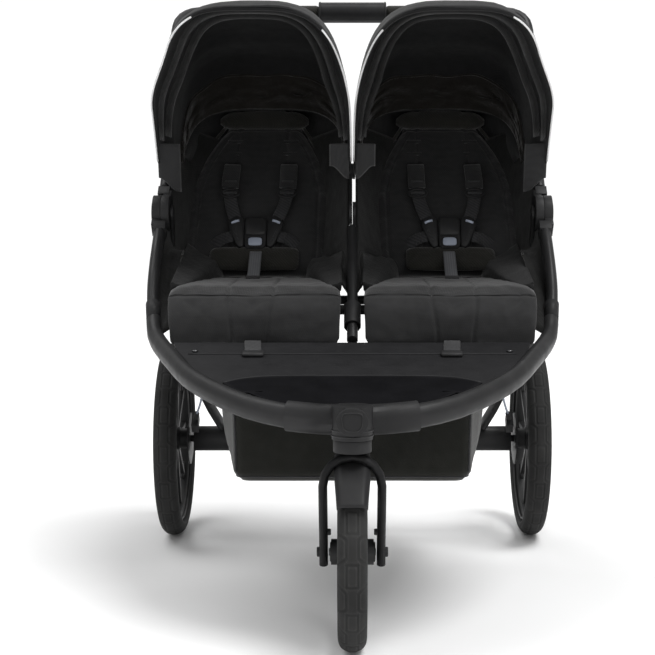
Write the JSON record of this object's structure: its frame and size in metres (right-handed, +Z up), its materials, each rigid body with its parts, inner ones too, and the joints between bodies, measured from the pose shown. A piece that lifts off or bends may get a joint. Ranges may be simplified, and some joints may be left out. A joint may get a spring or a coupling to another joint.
{
  "type": "double jogging stroller",
  "caption": "Side-by-side jogging stroller with swivelling front wheel, large spoked rear wheels, folding frame, hinged canopies and reclining seats.",
  "frame": {"origin": "middle of the footprint on the ground, halfway between the front of the front tyre and the back of the rear tyres", "axes": "+Z up, front towards -Y, +X to the right as seen from the front"},
  "size_m": [0.785, 1.153, 1.104],
  "materials": {
    "frame_metal": "aluminium tube, satin dark grey powder coat with a fine grain",
    "moulded_plastic": "black moulded nylon, fine spark texture",
    "button_plastic": "pale blue-grey moulded plastic",
    "rim_plastic": "black moulded rim, satin",
    "tyre": "matte black rubber with shallow tread",
    "grip_rubber": "soft ribbed black foam rubber",
    "steel": "turned steel",
    "seat_fabric": "black woven polyester, padded",
    "webbing": "black ribbed webbing",
    "canopy_fabric": "black woven polyester shell with dark lining",
    "basket_fabric": "black coated polyester"
  },
  "bodies": {
    "chassis": {"front_loop_left": "frame_metal", "front_loop_right": "frame_metal", "side_tube_left": "frame_metal", "side_tube_right": "frame_metal", "fold_hub_outer_left": "moulded_plastic", "fold_hub_outer_right": "moulded_plastic", "nose_bracket": "moulded_plastic", "head_ring": "moulded_plastic", "footplate": "moulded_plastic", "centre_tube": "frame_metal", "seat_rail_front": "frame_metal", "seat_rail_rear": "frame_metal", "seat_link_left": "frame_metal", "seat_link_right": "frame_metal", "cargo_basket": "basket_fabric", "seat_cushion_left": "seat_fabric", "seat_cushion_right": "seat_fabric", "crotch_strap_left": "webbing", "crotch_strap_right": "webbing"},
    "upper_frame": {"upper_tube_left": "frame_metal", "upper_tube_right": "frame_metal", "fold_hub_inner_left": "moulded_plastic", "fold_hub_inner_right": "moulded_plastic", "handle_hub_outer_left": "moulded_plastic", "handle_hub_outer_right": "moulded_plastic", "centre_post": "frame_metal", "canopy_fabric_left": "canopy_fabric", "canopy_fabric_right": "canopy_fabric"},
    "handlebar": {"handlebar": "frame_metal"},
    "brake_grip": {"brake_grip": "grip_rubber"},
    "rear_frame": {"rear_leg_left": "frame_metal", "rear_leg_right": "frame_metal", "rear_axle_beam": "frame_metal", "brake_caliper_left": "moulded_plastic", "brake_caliper_right": "moulded_plastic"},
    "front_fork": {"fork": "frame_metal", "mudguard": "moulded_plastic", "front_axle": "steel"},
    "front_wheel": {"front_tyre": "tyre", "front_rim": "rim_plastic"},
    "swivel_lock": {"swivel_lock_knob": "moulded_plastic"},
    "fold_sleeve": {"fold_sleeve": "moulded_plastic"},
    "rear_wheel_left": {"rear_tyre_left": "tyre", "rear_rim_left": "rim_plastic", "brake_disc_left": "steel"},
    "axle_button_left": {"axle_button_left": "moulded_plastic"},
    "canopy_left": {"canopy_bow_left": "moulded_plastic"},
    "seat_back_left": {"seat_back_left": "seat_fabric", "harness_left": "webbing", "buckle_left": "moulded_plastic"},
    "buckle_button_left": {"buckle_button_left": "button_plastic"},
    "rear_wheel_right": {"rear_tyre_right": "tyre", "rear_rim_right": "rim_plastic", "brake_disc_right": "steel"},
    "axle_button_right": {"axle_button_right": "moulded_plastic"},
    "canopy_right": {"canopy_bow_right": "moulded_plastic"},
    "seat_back_right": {"seat_back_right": "seat_fabric", "harness_right": "webbing", "buckle_right": "moulded_plastic"},
    "buckle_button_right": {"buckle_button_right": "button_plastic"}
  },
  "joints": [
    {"name": "fold", "type": "hinge", "parent": "chassis", "child": "upper_frame", "pos_m": [0, 0.1445, 0.67], "axis": [1, 0, 0], "range_deg": [0, 130]},
    {"name": "rear_fold", "type": "hinge", "parent": "chassis", "child": "rear_frame", "pos_m": [0, 0.1765, 0.503], "axis": [1, 0, 0], "range_deg": [-48, 0]},
    {"name": "front_swivel", "type": "hinge", "parent": "chassis", "child": "front_fork", "pos_m": [0, -0.4835, 0.33], "axis": [0, 0, 1], "continuous": true},
    {"name": "front_wheel_spin", "type": "hinge", "parent": "front_fork", "child": "front_wheel", "pos_m": [0, -0.4235, 0.153], "axis": [1, 0, 0], "continuous": true},
    {"name": "handlebar_tilt", "type": "hinge", "parent": "upper_frame", "child": "handlebar", "pos_m": [0, 0.3875, 0.984], "axis": [1, 0, 0], "range_deg": [-30, 10]},
    {"name": "brake_twist", "type": "hinge", "parent": "handlebar", "child": "brake_grip", "pos_m": [0, 0.4565, 1.083], "axis": [1, 0, 0], "range_deg": [0, 35]},
    {"name": "swivel_lock_turn", "type": "hinge", "parent": "chassis", "child": "swivel_lock", "pos_m": [0, -0.5205, 0.371], "axis": [0, 1, 0], "range_deg": [0, 90]},
    {"name": "fold_release", "type": "slide", "parent": "chassis", "child": "fold_sleeve", "axis": [0, 0.727, 0.6866], "range_m": [0, 0.02], "stiffness_N_per_m": 400},
    {"name": "rear_wheel_spin_left", "type": "hinge", "parent": "rear_frame", "child": "rear_wheel_left", "pos_m": [-0.3695, 0.3765, 0.2], "axis": [1, 0, 0], "continuous": true},
    {"name": "canopy_left_close", "type": "hinge", "parent": "upper_frame", "child": "canopy_left", "pos_m": [-0.172, 0.2165, 0.751], "axis": [-1, 0, 0], "range_deg": [0, 80], "deforming": ["canopy_fabric_left"]},
    {"name": "recline_left", "type": "hinge", "parent": "upper_frame", "child": "seat_back_left", "pos_m": [-0.189, 0.2045, 0.548], "axis": [-1, 0, 0], "range_deg": [0, 30]},
    {"name": "buckle_release_left", "type": "slide", "parent": "seat_back_left", "child": "buckle_button_left", "axis": [0, 0.829, -0.5592], "range_m": [0, 0.003], "stiffness_N_per_m": 600},
    {"name": "axle_release_left", "type": "slide", "parent": "rear_wheel_left", "child": "axle_button_left", "axis": [1, 0, 0], "range_m": [0, 0.003], "stiffness_N_per_m": 600},
    {"name": "rear_wheel_spin_right", "type": "hinge", "parent": "rear_frame", "child": "rear_wheel_right", "pos_m": [0.3695, 0.3765, 0.2], "axis": [1, 0, 0], "continuous": true},
    {"name": "canopy_right_close", "type": "hinge", "parent": "upper_frame", "child": "canopy_right", "pos_m": [0.172, 0.2165, 0.751], "axis": [-1, 0, 0], "range_deg": [0, 80], "deforming": ["canopy_fabric_right"]},
    {"name": "recline_right", "type": "hinge", "parent": "upper_frame", "child": "seat_back_right", "pos_m": [0.189, 0.2045, 0.548], "axis": [-1, 0, 0], "range_deg": [0, 30]},
    {"name": "buckle_release_right", "type": "slide", "parent": "seat_back_right", "child": "buckle_button_right", "axis": [0, 0.829, -0.5592], "range_m": [0, 0.003], "stiffness_N_per_m": 600},
    {"name": "axle_release_right", "type": "slide", "parent": "rear_wheel_right", "child": "axle_button_right", "axis": [-1, 0, 0], "range_m": [0, 0.003], "stiffness_N_per_m": 600}
  ],
  "couplings": [
    {"joint": "rear_fold", "follows": "fold", "ratio": -0.369},
    {"joint": "canopy_left_close", "follows": "fold", "ratio": 0.615},
    {"joint": "canopy_right_close", "follows": "fold", "ratio": 0.615}
  ]
}
